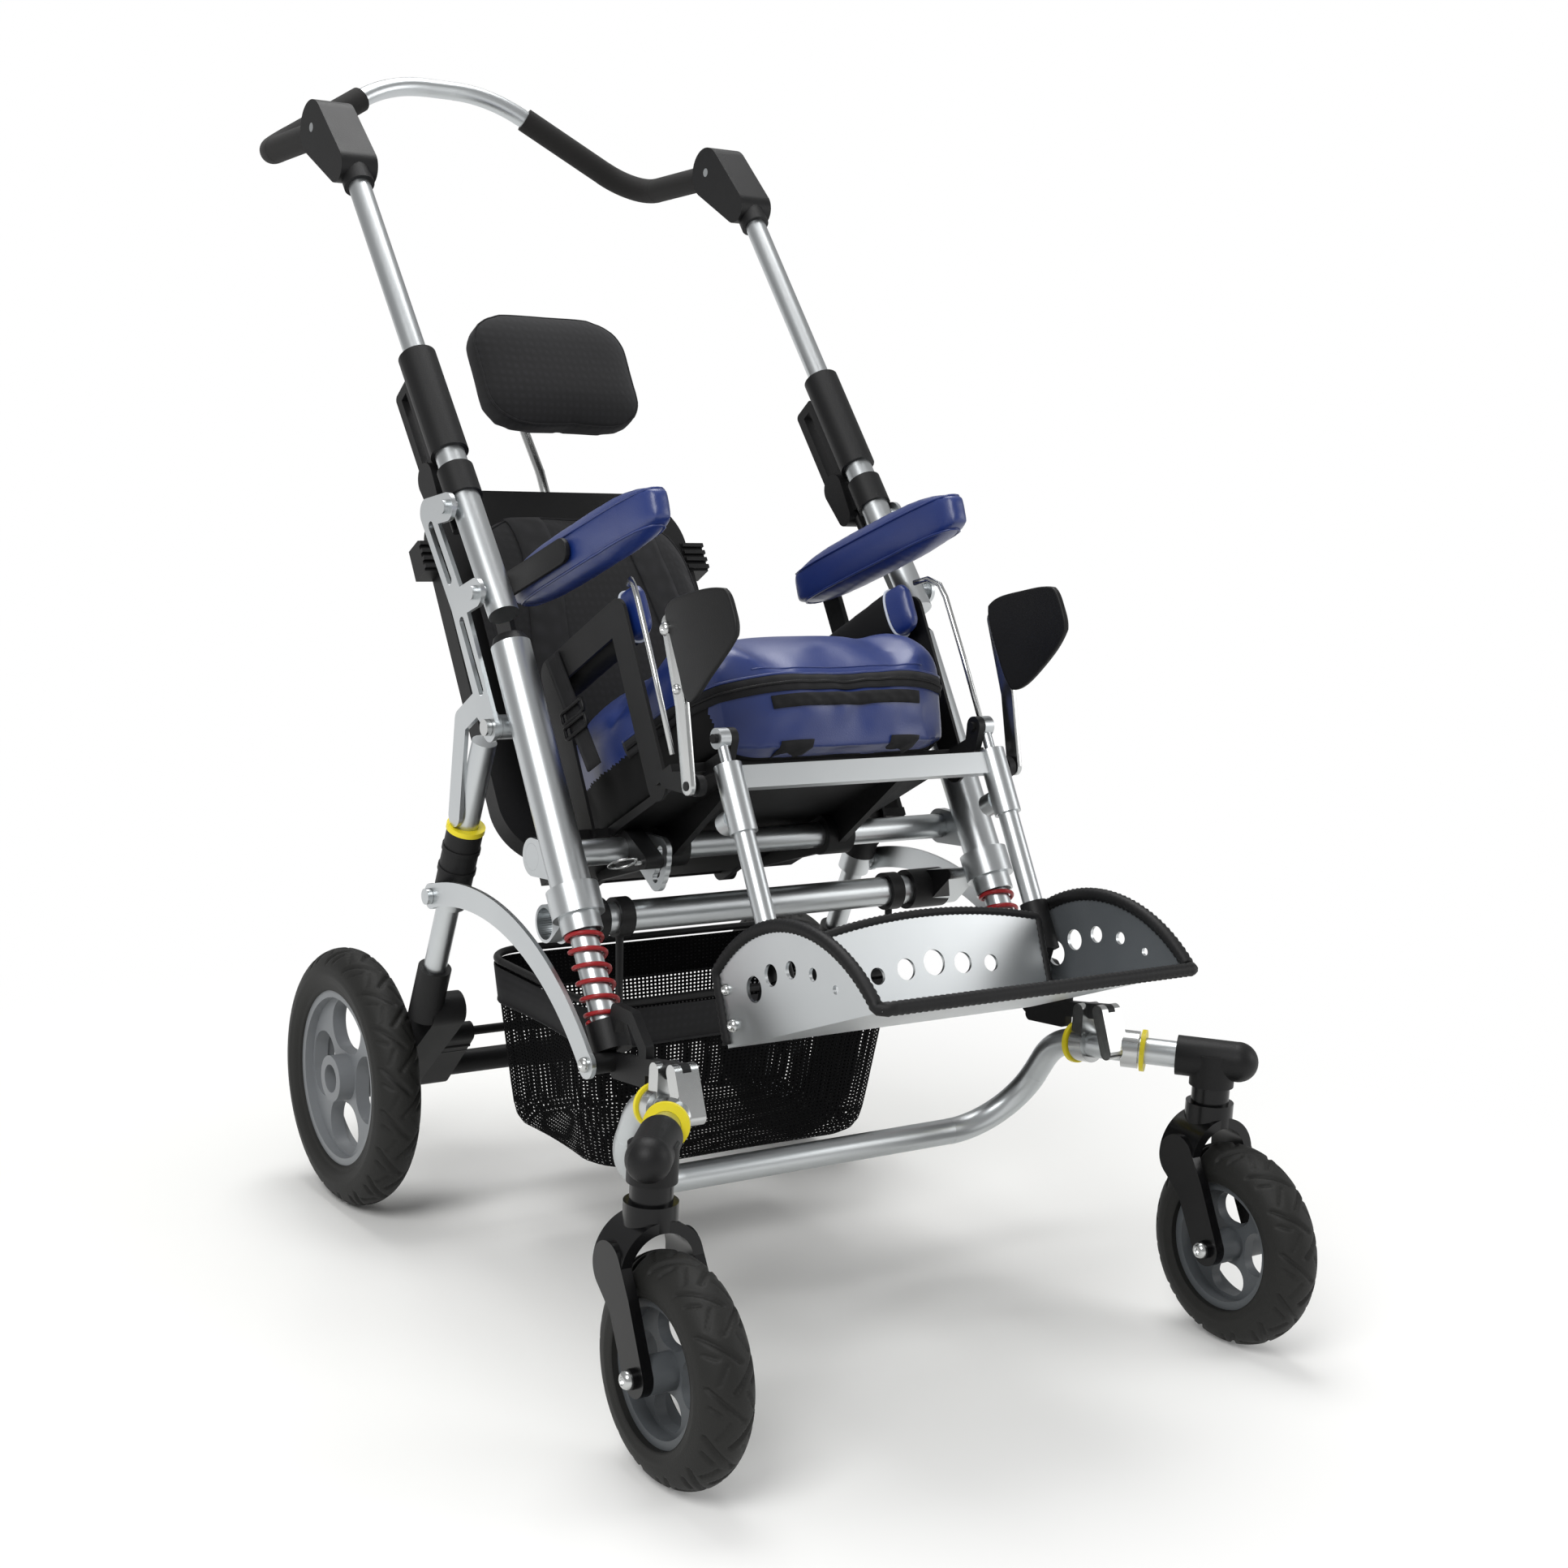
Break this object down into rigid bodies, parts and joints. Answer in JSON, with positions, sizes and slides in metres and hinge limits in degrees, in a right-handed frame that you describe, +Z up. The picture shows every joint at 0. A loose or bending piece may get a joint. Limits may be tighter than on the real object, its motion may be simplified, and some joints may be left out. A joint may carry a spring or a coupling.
{
  "type": "special needs buggy",
  "caption": "Folding tube buggy with a tilting padded seat, headrest, armrests, knee guides, tilting footplate, swivel casters and sprung legs.",
  "frame": {"origin": "on the floor under the middle of the buggy", "axes": "+Z up, the buggy faces -Y, +X is the sitter's left"},
  "size_m": [0.67, 1.1741, 1.1461],
  "materials": {
    "silver_aluminium": "satin anodised",
    "bright_steel": "bright zinc",
    "black_plastic": "fine grain",
    "gloss_black": "smooth",
    "black_rubber": "matt",
    "black_tyre": "matt",
    "grey_plastic": "fine grain",
    "red_spring": "gloss powder coat",
    "yellow_rubber": "satin",
    "blue_vinyl": "soft sheen",
    "black_fabric": "matt weave"
  },
  "bodies": {
    "chassis": {"left_main_tube": "silver_aluminium", "right_main_tube": "silver_aluminium", "main_tube_plugs": "black_plastic", "seat_pivot_tube": "silver_aluminium", "lower_cross_tube": "silver_aluminium", "cross_tube_clamps": "black_plastic", "fold_pivot_bolts": "bright_steel", "strut_bushes": "black_plastic", "left_coil_spring": "red_spring", "right_coil_spring": "red_spring", "storage_basket": "black_fabric", "basket_rim": "black_plastic"},
    "front_axle": {"front_bow_tube": "silver_aluminium", "strut_tubes": "bright_steel", "tie_down_brackets": "black_plastic", "bow_clamps": "bright_steel", "clamp_bands": "yellow_rubber", "caster_arm_covers": "black_plastic"},
    "left_caster": {"left_caster_fork": "gloss_black"},
    "left_caster_wheel": {"left_caster_rim": "grey_plastic", "left_caster_tyre": "black_tyre"},
    "right_caster": {"right_caster_fork": "gloss_black"},
    "right_caster_wheel": {"right_caster_rim": "grey_plastic", "right_caster_tyre": "black_tyre"},
    "rear_legs": {"rear_leg_hooks": "silver_aluminium", "rear_elastomers": "black_rubber", "elastomer_rings": "yellow_rubber", "rear_lower_legs": "silver_aluminium", "axle_housings": "black_plastic", "rear_axle": "black_plastic"},
    "left_rear_wheel": {"left_rear_rim": "grey_plastic", "left_rear_tyre": "black_tyre"},
    "right_rear_wheel": {"right_rear_rim": "grey_plastic", "right_rear_tyre": "black_tyre"},
    "brake": {"brake_pedals": "black_plastic"},
    "side_links": {"side_links": "silver_aluminium"},
    "handle": {"fold_plates": "silver_aluminium", "lower_push_tubes": "silver_aluminium", "clamp_sleeves": "black_plastic"},
    "left_release": {"left_release_lever": "black_plastic"},
    "right_release": {"right_release_lever": "black_plastic"},
    "handle_top": {"upper_push_tubes": "silver_aluminium", "angle_housings": "black_plastic"},
    "bar": {"push_bar": "silver_aluminium", "push_bar_grips": "black_rubber"},
    "seat": {"seat_frame": "black_plastic", "seat_cushion": "blue_vinyl", "side_pads": "blue_vinyl"},
    "tilt_pin": {"tilt_lock_pin": "bright_steel"},
    "backrest": {"backrest_shell": "black_plastic", "backrest_pad": "black_fabric"},
    "headrest": {"headrest_rod": "bright_steel", "headrest_pad": "black_fabric"},
    "left_arm": {"left_armrest": "blue_vinyl"},
    "right_arm": {"right_armrest": "blue_vinyl"},
    "legrest": {"legrest_frame": "silver_aluminium"},
    "footrest": {"footrest_tubes": "silver_aluminium"},
    "foot_tray": {"footplate": "silver_aluminium"},
    "left_knee": {"left_knee_guide": "black_plastic"},
    "right_knee": {"right_knee_guide": "black_plastic"}
  },
  "joints": [
    {"name": "front_suspension", "type": "slide", "parent": "chassis", "child": "front_axle", "axis": [0, 0.5432, 0.8396], "range_m": [0, 0.015], "stiffness_N_per_m": 9000, "springref_m": -0.035, "deforming": ["left_coil_spring", "right_coil_spring"]},
    {"name": "left_caster_swivel", "type": "hinge", "parent": "front_axle", "child": "left_caster", "pos_m": [0.294, -0.452, 0.22], "axis": [0, 0, 1], "continuous": true},
    {"name": "left_caster_spin", "type": "hinge", "parent": "left_caster", "child": "left_caster_wheel", "pos_m": [0.294, -0.497, 0.09], "axis": [1, 0, 0], "continuous": true},
    {"name": "right_caster_swivel", "type": "hinge", "parent": "front_axle", "child": "right_caster", "pos_m": [-0.294, -0.452, 0.22], "axis": [0, 0, 1], "continuous": true},
    {"name": "right_caster_spin", "type": "hinge", "parent": "right_caster", "child": "right_caster_wheel", "pos_m": [-0.294, -0.497, 0.09], "axis": [1, 0, 0], "continuous": true},
    {"name": "rear_leg_swing", "type": "hinge", "parent": "chassis", "child": "rear_legs", "pos_m": [0, -0.08082, 0.516], "axis": [1, 0, 0], "range_deg": [0, 3.36]},
    {"name": "side_link_swing", "type": "hinge", "parent": "rear_legs", "child": "side_links", "pos_m": [0, 0.02252, 0.34269], "axis": [1, 0, 0], "range_deg": [-4.61, 0]},
    {"name": "left_rear_spin", "type": "hinge", "parent": "rear_legs", "child": "left_rear_wheel", "pos_m": [0.26, 0.176, 0.128], "axis": [1, 0, 0], "continuous": true},
    {"name": "right_rear_spin", "type": "hinge", "parent": "rear_legs", "child": "right_rear_wheel", "pos_m": [-0.26, 0.176, 0.128], "axis": [1, 0, 0], "continuous": true},
    {"name": "brake_press", "type": "hinge", "parent": "rear_legs", "child": "brake", "pos_m": [0, 0.176, 0.128], "axis": [1, 0, 0], "range_deg": [0, 18]},
    {"name": "handle_fold", "type": "hinge", "parent": "chassis", "child": "handle", "pos_m": [0, -0.08082, 0.516], "axis": [1, 0, 0], "range_deg": [-70, 0]},
    {"name": "left_release_pull", "type": "slide", "parent": "handle", "child": "left_release", "axis": [0, 0.6521, 0.7581], "range_m": [0, 0.012], "stiffness_N_per_m": 900, "springref_m": -0.012},
    {"name": "right_release_pull", "type": "slide", "parent": "handle", "child": "right_release", "axis": [0, 0.6521, 0.7581], "range_m": [0, 0.012], "stiffness_N_per_m": 900, "springref_m": -0.012},
    {"name": "handle_height", "type": "slide", "parent": "handle", "child": "handle_top", "axis": [0, 0.6521, 0.7581], "range_m": [-0.12, 0]},
    {"name": "push_bar_angle", "type": "hinge", "parent": "handle_top", "child": "bar", "pos_m": [0, 0.34477, 1.05408], "axis": [1, 0, 0], "range_deg": [-45, 60]},
    {"name": "seat_tilt", "type": "hinge", "parent": "chassis", "child": "seat", "pos_m": [0, -0.126, 0.407], "axis": [1, 0, 0], "range_deg": [-10, 25]},
    {"name": "tilt_pin_pull", "type": "slide", "parent": "seat", "child": "tilt_pin", "axis": [-1, 0, 0], "range_m": [0, 0.008], "stiffness_N_per_m": 900, "springref_m": -0.008},
    {"name": "backrest_recline", "type": "hinge", "parent": "seat", "child": "backrest", "pos_m": [0, 0.03942, 0.34152], "axis": [1, 0, 0], "range_deg": [-25, 0]},
    {"name": "headrest_height", "type": "slide", "parent": "backrest", "child": "headrest", "axis": [0, 0.5446, 0.8387], "range_m": [-0.015, 0.05]},
    {"name": "left_arm_flip", "type": "hinge", "parent": "seat", "child": "left_arm", "pos_m": [0.183, 0.03498, 0.62583], "axis": [1, 0, 0], "range_deg": [-80, 0]},
    {"name": "right_arm_flip", "type": "hinge", "parent": "seat", "child": "right_arm", "pos_m": [-0.183, 0.03498, 0.62583], "axis": [1, 0, 0], "range_deg": [-80, 0]},
    {"name": "legrest_raise", "type": "hinge", "parent": "seat", "child": "legrest", "pos_m": [0, -0.28334, 0.53248], "axis": [1, 0, 0], "range_deg": [-45, 5]},
    {"name": "footrest_height", "type": "slide", "parent": "legrest", "child": "footrest", "axis": [0, -0.5, -0.866], "range_m": [-0.03, 0.012]},
    {"name": "foot_angle", "type": "hinge", "parent": "footrest", "child": "foot_tray", "pos_m": [0, -0.37542, 0.32699], "axis": [1, 0, 0], "range_deg": [-20, 15]},
    {"name": "left_knee_swing", "type": "hinge", "parent": "seat", "child": "left_knee", "pos_m": [0.172, -0.29008, 0.4948], "axis": [1, 0, 0], "range_deg": [0, 80]},
    {"name": "right_knee_swing", "type": "hinge", "parent": "seat", "child": "right_knee", "pos_m": [-0.172, -0.29008, 0.4948], "axis": [1, 0, 0], "range_deg": [0, 80]}
  ],
  "couplings": [
    {"joint": "rear_leg_swing", "follows": "front_suspension", "rad_per_m": 3.834},
    {"joint": "side_link_swing", "follows": "front_suspension", "rad_per_m": -5.2526}
  ]
}
